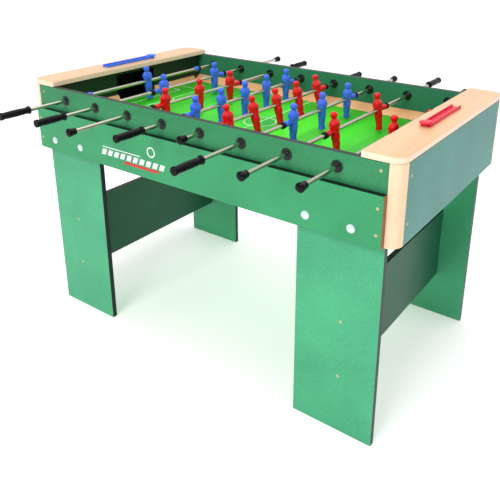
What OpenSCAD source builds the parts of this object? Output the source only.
// Foosball table: a free-standing football table with eight rods.
// The origin is on the floor below the table's middle. X runs from goal to goal, Y along the rods,
// Z up. The blue team keeps the goal at -X and the red team the goal at +X.

/* [Cabinet] */
// Thickness of every board
board_t = 18; // [16:1:19]
// Width over the side walls
body_w = 780; // [760:10:800]
// Length of the side walls, between the corner posts
wall_l = 1310; // [1300:5:1330]
// Height of the side walls' top edge above the floor
wall_top = 845; // [835:5:850]
// Height of the skirts' top edge
skirt_top = 768; // [760:2:772]
// Height of the bottom edge of walls, skirts and end panels
body_bottom = 627; // [610:1:640]
// Radius of the corner posts and of the top boards' corners
corner_r = 35; // [30:1:40]
// Distance from the middle to the top boards' inner edge
apron_in = 580; // [578:1:590]

/* [Pitch] */
// Length of the pitch between the goal walls
pitch_l = 1200; // [1196:2:1210]
// Height of the playing surface
pitch_z = 735; // [730:1:736]
// Thickness of the pitch board
pitch_t = 10; // [6:1:12]
// Width of the goal mouths
goal_w = 190; // [170:5:210]
// Height of the goal mouths' top edge
goal_top = 831; // [815:1:835]
// Width of the sloped strips along the side walls
side_ramp_w = 42; // [36:1:44]
// Width of the sloped strips beside the goals
end_ramp_w = 16; // [14:1:34]
// Height of the sloped strips at the wall
ramp_h = 22; // [16:1:24]

/* [Legs] */
// Distance from the middle to the legs' outer edge
leg_out = 652; // [640:2:654]
// Width of a leg board
leg_w = 256; // [220:2:270]
// Distance from the middle to a stretcher's mid plane
stretcher_x = 540; // [520:5:560]
// Height of a stretcher's bottom edge
stretcher_z = 165; // [120:5:220]
// Height of a stretcher board
stretcher_h = 256; // [160:2:270]

/* [Rods] */
// Distance between neighbouring rods
rod_pitch = 148; // [147:1:150]
// Height of the rods' axes
rod_z = 808; // [806:1:810]
// Radius of the rods
rod_r = 6; // [5.5:0.5:6.5]
// Length of a handle
handle_l = 102; // [95:1:110]
// Length of an end cap
cap_l = 28; // [24:1:32]
// Length of a rubber bumper
bumper_l = 12; // [10:1:14]

/* [Figures] */
// Height of a figure's crown above the rod
head_up = 57; // [52:1:58]
// Depth of a figure's sole below the rod
sole_down = 67; // [64:1:68]
// Distance from a figure's middle to the end of its hub
hub_reach = 52; // [44:1:52]

/* [Hidden] */
$fn = 48;

// Cabinet, from the middle outwards
wall_y = body_w / 2;                       // outer face of a side wall
wall_in = wall_y - board_t;                // inner face of a side wall
skirt_y = wall_y + board_t;                // outer face of a skirt
wall_x = wall_l / 2;                       // end of the side walls
end_x = wall_x + corner_r;                 // outer face of an end panel
end_in = end_x - board_t;                  // inner face of an end panel
end_y = wall_y - corner_r;                 // edge of an end panel
goal_x = pitch_l / 2;                      // inner face of a goal wall
pitch_under = pitch_z - pitch_t;           // the legs stop here
leg_in = leg_out - leg_w;
leg_face = wall_in;                        // outer face of a leg
leg_back_face = wall_in - board_t;         // inner face of a leg

// Rods: the number of figures, where their middle stands and the rod's reach from that middle
figures = [1, 2, 3, 5, 5, 3, 2, 1];
offset_y = [-16, 61, -54, 13, -4, 36, 0, -68];
handle_side = [-1, -1, 1, -1, 1, -1, 1, 1]; // -1: the handle is at the front
lean = [5, 0, 0, 0, 13, 0, 8, 0];            // degrees that the heads lean towards -X
spacing = [0, 279, 168, 0, 127];           // by the number of figures less one
handle_reach = [615, 671, 688, 0, 582];
keeper_stop = 275;                         // a goalkeeper rod's stop collars
collar_l = 18;
bush_flange = 5;                           // thickness of a bushing's flange
bush_r = 16.5;
bush_body_r = 11;                          // in the wall
bumper_r = 10.5;
stop_gap = 0.5;                            // left at the end of the travel
fit = 0.05;                                // running clearance on the radius
bore_r = rod_r + fit;

// Fasteners and counters
bolt_x = [442, 574];
bolt_z = 663;
bolt_r = 4;
bolt_hole_r = 4.3;
bolt_head_h = 3;
screw_r = 1.8;
screw_head_r = 4;
counter_x = 630;
counter_w = 28;
counter_l = 240;
marker_r = 19;
marker_travel = 190;

green = "seagreen";
beech = "burlywood";

function rod_x(n) = (n - 4.5) * rod_pitch;
function outer_figure(k) = spacing[k - 1] * (k - 1) / 2;
function bumper_in(k) = k == 1 ? keeper_stop + collar_l / 2 : outer_figure(k) + hub_reach;
function travel(k) = wall_in - bush_flange - stop_gap - bumper_in(k) - bumper_l;
function cap_in(k) = wall_y + bush_flange + 1 + travel(k);

// ---------- helpers ----------

// Box from its lowest to its highest corner
module block(low, high) {
    translate(low)
        cube(high - low);
}

// Repeats its children mirrored in X, in Y, or in both
module both_x() {
    for (s = [0, 1])
        mirror([s, 0, 0])
            children();
}

module both_y() {
    for (s = [0, 1])
        mirror([0, s, 0])
            children();
}

// Cylinder along Y from y0 to y1
module rod_y(r, y0, y1) {
    translate([0, y0, 0])
        rotate([-90, 0, 0])
            cylinder(r = r, h = y1 - y0);
}

// Turned shape along Y, from an outline of [radius, distance]
module turned_y(outline) {
    rotate([-90, 0, 0])
        rotate_extrude()
            polygon(outline);
}

// The leg bolts' holes between two planes
module bolt_holes(y0, y1) {
    for (s = [-1, 1], x = bolt_x)
        translate([s * x, 0, bolt_z])
            rod_y(bolt_hole_r, y0, y1);
}

// ---------- cabinet ----------

module pitch_board() {
    color("limegreen")
        block([-goal_x, -wall_in, pitch_under], [goal_x, wall_in, pitch_z]);
}

// Sloped strips: one along each side wall and one on each side of each goal mouth
module ramps() {
    edge = 1.5;
    color(beech) {
        both_y()
            translate([-goal_x, wall_in, pitch_z])
                rotate([90, 0, 90])
                    linear_extrude(pitch_l)
                        polygon([[0, 0], [0, ramp_h], [-3, ramp_h], [-side_ramp_w, edge],
                                 [-side_ramp_w, 0]]);
        both_x()
            both_y()
                translate([goal_x, wall_in - side_ramp_w, pitch_z])
                    rotate([90, 0, 0])
                        linear_extrude(wall_in - side_ramp_w - goal_w / 2)
                            polygon([[0, 0], [0, ramp_h], [-3, ramp_h], [-end_ramp_w, edge],
                                     [-end_ramp_w, 0]]);
    }
}

// Side wall on the +Y side
module side_wall() {
    color(green)
        difference() {
            block([-wall_x, wall_in, body_bottom], [wall_x, wall_y, wall_top]);
            for (n = [1:8])
                translate([rod_x(n), 0, rod_z])
                    rod_y(bush_body_r, wall_in - 1, wall_y + 1);
            bolt_holes(wall_in - 1, wall_y + 1);
        }
}

module wall_back() {
    side_wall();
}

module wall_front() {
    mirror([0, 1, 0])
        side_wall();
}

// Skirt on the +Y side
module skirt() {
    color(green)
        difference() {
            block([-wall_x, wall_y, body_bottom], [wall_x, skirt_y, skirt_top]);
            bolt_holes(wall_y - 1, skirt_y + 1);
        }
}

module skirt_back() {
    skirt();
}

module skirt_front() {
    mirror([0, 1, 0])
        skirt();
}

module end_panel_right() {
    color("cadetblue")
        block([end_in, -end_y, body_bottom], [end_x, end_y, wall_top]);
}

module end_panel_left() {
    mirror([1, 0, 0])
        end_panel_right();
}

module goal_wall_right() {
    color("darkgreen")
        difference() {
            block([goal_x, -wall_in, pitch_under], [goal_x + board_t, wall_in, wall_top]);
            block([goal_x - 1, -goal_w / 2, pitch_z], [goal_x + board_t + 1, goal_w / 2, goal_top]);
        }
}

module goal_wall_left() {
    mirror([1, 0, 0])
        goal_wall_right();
}

// Dark boxes behind the goal mouths: open to the mouth, with a sill that keeps the ball in
module goal_boxes() {
    t = 4;
    depth = 35;
    back = goal_x + board_t;
    color("dimgray")
        both_x()
            difference() {
                block([back, -goal_w / 2 - t, pitch_z - depth - t],
                      [end_in, goal_w / 2 + t, wall_top]);
                block([back + t, -goal_w / 2, pitch_z - depth],
                      [end_in - t, goal_w / 2, wall_top + 1]);
                block([back - 1, -goal_w / 2, pitch_z], [back + t + 1, goal_w / 2, wall_top + 1]);
            }
}

// Top board with round outer corners
module apron_right() {
    color(beech)
        translate([0, 0, wall_top])
            linear_extrude(board_t)
                union() {
                    translate([apron_in, -wall_y])
                        square([wall_x - apron_in, body_w]);
                    translate([wall_x, -end_y])
                        square([corner_r, 2 * end_y]);
                    for (s = [-1, 1])
                        translate([wall_x, s * end_y])
                            circle(corner_r);
                }
}

module apron_left() {
    mirror([1, 0, 0])
        apron_right();
}

// Quarter-round posts. A tongue behind the end panel and a short one behind the wall,
// above the leg, join the boards.
module corner_posts() {
    tongue = 30;
    color("wheat")
        both_x()
            both_y()
                union() {
                    intersection() {
                        translate([wall_x, end_y, body_bottom])
                            cylinder(r = corner_r, h = wall_top - body_bottom);
                        block([wall_x, end_y, body_bottom], [end_x, wall_y, wall_top]);
                    }
                    block([wall_x, wall_in - board_t - tongue, body_bottom],
                          [end_in, end_y, wall_top]);
                    block([wall_x - tongue, wall_in - board_t, pitch_z],
                          [end_in, wall_in, wall_top]);
                }
}

// ---------- legs ----------

// Leg in the +X +Y corner
module leg() {
    color("mediumseagreen")
        difference() {
            block([leg_in, leg_back_face, 0], [leg_out, leg_face, pitch_under]);
            bolt_holes(leg_back_face - 1, leg_face + 1);
        }
}

module leg_back_right() {
    leg();
}

module leg_back_left() {
    mirror([1, 0, 0])
        leg();
}

module leg_front_right() {
    mirror([0, 1, 0])
        leg();
}

module leg_front_left() {
    mirror([1, 0, 0])
        leg_front_right();
}

module stretcher_right() {
    color("darkslategray")
        block([stretcher_x - board_t / 2, -leg_back_face, stretcher_z],
              [stretcher_x + board_t / 2, leg_back_face, stretcher_z + stretcher_h]);
}

module stretcher_left() {
    mirror([1, 0, 0])
        stretcher_right();
}

// ---------- fasteners ----------

// Countersunk screw driven along -Z from the face at z = 0; its head stands 0.6 proud
module screw() {
    shank = 30;
    translate([0, 0, -2])
        cylinder(r1 = screw_r, r2 = screw_head_r, h = 2);
    cylinder(r = screw_head_r, h = 0.6);
    translate([0, 0, -shank])
        cylinder(r = screw_r, h = shank);
}

module panel_screws() {
    color("goldenrod")
        both_x() {
            both_y() {
                translate([wall_x - 20, wall_y, wall_top - 22])
                    rotate([-90, 0, 0])
                        screw();
                for (z = [skirt_top - 34, body_bottom + 37])
                    translate([wall_x - 14, skirt_y, z])
                        rotate([-90, 0, 0])
                            screw();
                for (z = [wall_top - 38, body_bottom + 54])
                    translate([end_x, end_y - 17, z])
                        rotate([0, 90, 0])
                            screw();
                for (z = [stretcher_z + 20, stretcher_z + stretcher_h - 60])
                    translate([stretcher_x, leg_face, z])
                        rotate([-90, 0, 0])
                            screw();
            }
        }
}

// Bolts through skirt, wall and leg, with a nut inside
module leg_bolts() {
    color("silver")
        both_y()
            for (s = [-1, 1], x = bolt_x)
                translate([s * x, 0, bolt_z]) {
                    rod_y(bolt_r, leg_back_face - 9, skirt_y);
                    rod_y(2 * bolt_r, skirt_y, skirt_y + bolt_head_h);
                    translate([0, leg_back_face, 0])
                        rotate([90, 0, 0])
                            cylinder(r = 7.5, h = 6.5, $fn = 6);
                }
}

// Domed covers over the bolt heads
module bolt_caps() {
    r = 12;
    head = 2 * bolt_r + 0.3;
    color("white")
        both_y()
            for (s = [-1, 1], x = bolt_x)
                translate([s * x, skirt_y, bolt_z])
                    turned_y([[head, 0], [r, 0], [r, 1.6], [r - 1, 3], [r - 3, 4.2], [0, 5],
                              [0, bolt_head_h + 0.2], [head, bolt_head_h + 0.2]]);
}

// Plain bearings in the side walls, flanged on both faces
module rod_bushings() {
    color("dimgray")
        both_y()
            for (n = [1:8])
                translate([rod_x(n), wall_in, rod_z])
                    turned_y([[bore_r, -bush_flange], [bush_r - 2, -bush_flange],
                              [bush_r, -bush_flange + 2], [bush_r, 0], [bush_body_r, 0],
                              [bush_body_r, board_t], [bush_r, board_t],
                              [bush_r, board_t + bush_flange - 2],
                              [bush_r - 2, board_t + bush_flange],
                              [bore_r, board_t + bush_flange]]);
}

// ---------- score counters ----------

// Rail with a raised lip on each side, on the right top board; the marker runs between the lips
module counter() {
    base = 3;
    lip = 3;
    lip_h = 9;
    x0 = counter_x - counter_w / 2;
    x1 = counter_x + counter_w / 2;
    z0 = wall_top + board_t;
    block([x0, -counter_l / 2, z0], [x1, counter_l / 2, z0 + base]);
    block([x0, -counter_l / 2, z0], [x0 + lip, counter_l / 2, z0 + lip_h]);
    block([x1 - lip, -counter_l / 2, z0], [x1, counter_l / 2, z0 + lip_h]);
}

module counter_right() {
    color("crimson")
        union()
            counter();
}

module counter_left() {
    color("royalblue")
        rotate([0, 0, 180])
            union()
                counter();
}

// Slider at the near end of its rail: a tongue between the lips and a round button on top
module marker() {
    z0 = wall_top + board_t;
    translate([counter_x, -counter_l / 2 + marker_r - 14, z0]) {
        block([-counter_w / 2 + 3.4, -8, 3.3], [counter_w / 2 - 3.4, 26, 9.5]);
        translate([0, 0, 9.5])
            cylinder(r1 = marker_r, r2 = marker_r - 3, h = 5);
    }
}

module marker_right() {
    color("hotpink")
        marker();
}

module marker_left() {
    color("cornflowerblue")
        rotate([0, 0, 180])
            marker();
}

// ---------- rods ----------

// Places its children on rod n's axis at the rod's middle, with the handle towards +Y
module on_rod(n) {
    translate([rod_x(n), offset_y[n - 1], rod_z])
        rotate([0, 0, handle_side[n - 1] == 1 ? 0 : 180])
            children();
}

module rod(n) {
    k = figures[n - 1];
    color("gainsboro")
        on_rod(n)
            rod_y(rod_r, -cap_in(k) - cap_l + 5, handle_reach[k - 1] - 6);
}

// Figure on the rod's axis, facing +X
module figure() {
    hip = 15;
    waist = 14.5;
    shoulder = 18.5;
    ankle = 11;
    chest = 12.5;
    foot_z = -sole_down + 11;
    head_r = 11.5;
    difference() {
        union() {
            translate([0, 0, head_up - head_r])
                sphere(head_r);
            translate([0, 0, 26])
                cylinder(r = 6, h = head_up - head_r - 30);
            intersection() {
                translate([chest + 1, 0, 0])
                    rotate([90, 0, -90])
                        linear_extrude(2 * chest + 2)
                            polygon([[-ankle, foot_z], [-hip, -14], [-waist, 2], [-shoulder, 16],
                                     [-shoulder + 2, 24], [-8, 31], [8, 31], [shoulder - 2, 24],
                                     [shoulder, 16], [waist, 2], [hip, -14], [ankle, foot_z]]);
                rotate([90, 0, 0])
                    translate([0, 0, -20])
                        linear_extrude(40)
                            polygon([[-8, foot_z], [-10, -14], [-chest, 18], [-8, 31], [8, 31],
                                     [chest, 18], [10, -14], [8, foot_z]]);
            }
            translate([9, -14, 12])
                rod_y(4.5, 0, 28);
            translate([0, ankle, 0])
                rotate([90, 0, 0])
                    linear_extrude(2 * ankle)
                        polygon([[-7.5, -sole_down + 3], [-6, -sole_down], [7, -sole_down],
                                 [10, -sole_down + 4], [9, foot_z - 2], [5.5, foot_z + 3],
                                 [-5.5, foot_z + 3], [-7.5, foot_z - 3]]);
            rod_y(11, -waist, waist);
        }
        rod_y(rod_r, -20, 20);
    }
}

// Sleeve with a bead at its end, from an outer figure to its bumper, on the +Y side
module hub() {
    bead = hub_reach - 16;
    turned_y([[rod_r, 12], [8, 12], [8, bead], [9.5, bead + 3], [9.5, hub_reach - 4],
              [8, hub_reach], [rod_r, hub_reach]]);
}

module collar() {
    difference() {
        rod_y(10, -collar_l / 2, collar_l / 2);
        rod_y(rod_r, -collar_l, collar_l);
    }
}

// All figures of rod n. The blue team faces +X, the red team -X.
module players(n) {
    k = figures[n - 1];
    blue = n == 1 || n == 2 || n == 4 || n == 6;
    facing = blue == (handle_side[n - 1] == 1) ? 0 : 180;
    color(blue ? "royalblue" : "red")
        on_rod(n) {
            for (i = [0:k - 1])
                translate([0, (i - (k - 1) / 2) * spacing[k - 1], 0])
                    rotate([0, (blue ? -1 : 1) * lean[n - 1], facing])
                        figure();
            both_y()
                if (k == 1)
                    translate([0, keeper_stop, 0])
                        collar();
                else
                    translate([0, outer_figure(k), 0])
                        hub();
        }
}

module bumpers(n) {
    k = figures[n - 1];
    gap = 0.3;
    y0 = bumper_in(k) + gap;
    color("black")
        on_rod(n)
            both_y()
                translate([0, y0, 0])
                    turned_y([[bore_r, 0], [bumper_r - 2, 0], [bumper_r, 2],
                              [bumper_r, bumper_l - gap - 2], [bumper_r - 2, bumper_l - gap],
                              [bore_r, bumper_l - gap]]);
}

// Handle at the +Y end and cap at the -Y end, both closed over the rod's ends
module handle(n) {
    k = figures[n - 1];
    depth = 6;
    color("black")
        on_rod(n) {
            translate([0, handle_reach[k - 1] - handle_l, 0])
                turned_y([[rod_r, 0], [14, 0], [14.5, 1.5], [14.5, 4], [13, 6], [11.5, 8],
                          [11, 30], [12, 60], [12, handle_l - 9], [13.5, handle_l - 7],
                          [14, handle_l - 5], [14, handle_l - 1.5], [12.5, handle_l],
                          [0, handle_l], [0, handle_l - depth], [rod_r, handle_l - depth]]);
            mirror([0, 1, 0])
                translate([0, cap_in(k), 0])
                    turned_y([[rod_r, 0], [9.5, 0], [10, 1.5], [12, cap_l - 8], [12.5, cap_l - 4],
                              [11, cap_l - 1], [8, cap_l], [0, cap_l], [0, cap_l - 5],
                              [rod_r, cap_l - 5]]);
        }
}

pitch_board();
ramps();
wall_front();
wall_back();
skirt_front();
skirt_back();
end_panel_left();
end_panel_right();
goal_wall_left();
goal_wall_right();
goal_boxes();
apron_left();
apron_right();
corner_posts();
leg_front_left();
leg_front_right();
leg_back_left();
leg_back_right();
stretcher_left();
stretcher_right();
rod_bushings();
panel_screws();
leg_bolts();
bolt_caps();
counter_left();
counter_right();
marker_left();
marker_right();
for (n = [1:8]) {
    rod(n);
    players(n);
    bumpers(n);
    handle(n);
}
